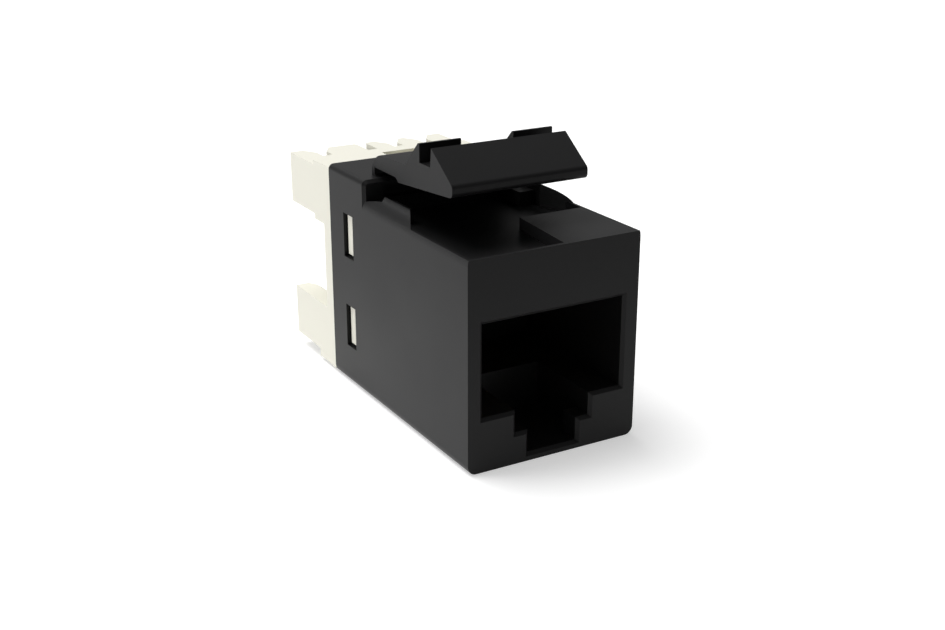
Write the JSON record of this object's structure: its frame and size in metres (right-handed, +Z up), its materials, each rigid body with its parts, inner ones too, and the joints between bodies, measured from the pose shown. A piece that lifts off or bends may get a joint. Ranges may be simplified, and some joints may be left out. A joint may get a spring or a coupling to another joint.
{
  "type": "keystone jack",
  "caption": "Black snap-in keystone jack: modular plug port in front, sprung wedge latch on top, ivory wire termination block with slotted towers behind.",
  "frame": {"origin": "middle of the whole jack's footprint, on the plane of its flat bottom", "axes": "+X to the right seen from the plug side, +Y from the plug side to the cable side, +Z up"},
  "size_m": [0.0144, 0.0306, 0.0222],
  "materials": {
    "black_plastic": "satin moulded black",
    "ivory_plastic": "matt moulded ivory",
    "board_laminate": "green lacquered laminate",
    "gold_wire": "gold-plated spring wire",
    "tin_blade": "tin-plated bronze blade"
  },
  "bodies": {
    "body": {"housing": "black_plastic", "termination_block": "ivory_plastic", "contact_carrier": "black_plastic", "circuit_board": "board_laminate", "plug_contact_1": "gold_wire", "plug_contact_2": "gold_wire", "plug_contact_3": "gold_wire", "plug_contact_4": "gold_wire", "plug_contact_5": "gold_wire", "plug_contact_6": "gold_wire", "plug_contact_7": "gold_wire", "plug_contact_8": "gold_wire", "wire_terminal_1": "tin_blade", "wire_terminal_2": "tin_blade", "wire_terminal_3": "tin_blade", "wire_terminal_4": "tin_blade", "wire_terminal_5": "tin_blade", "wire_terminal_6": "tin_blade", "wire_terminal_7": "tin_blade", "wire_terminal_8": "tin_blade"},
    "latch": {"release_latch": "black_plastic"}
  },
  "joints": [
    {"name": "latch_flex", "type": "hinge", "parent": "body", "child": "latch", "pos_m": [0, 0.00185, 0.01879], "axis": [1, 0, 0], "range_deg": [0, 13.5], "stiffness_Nm_per_rad": 0.02}
  ]
}
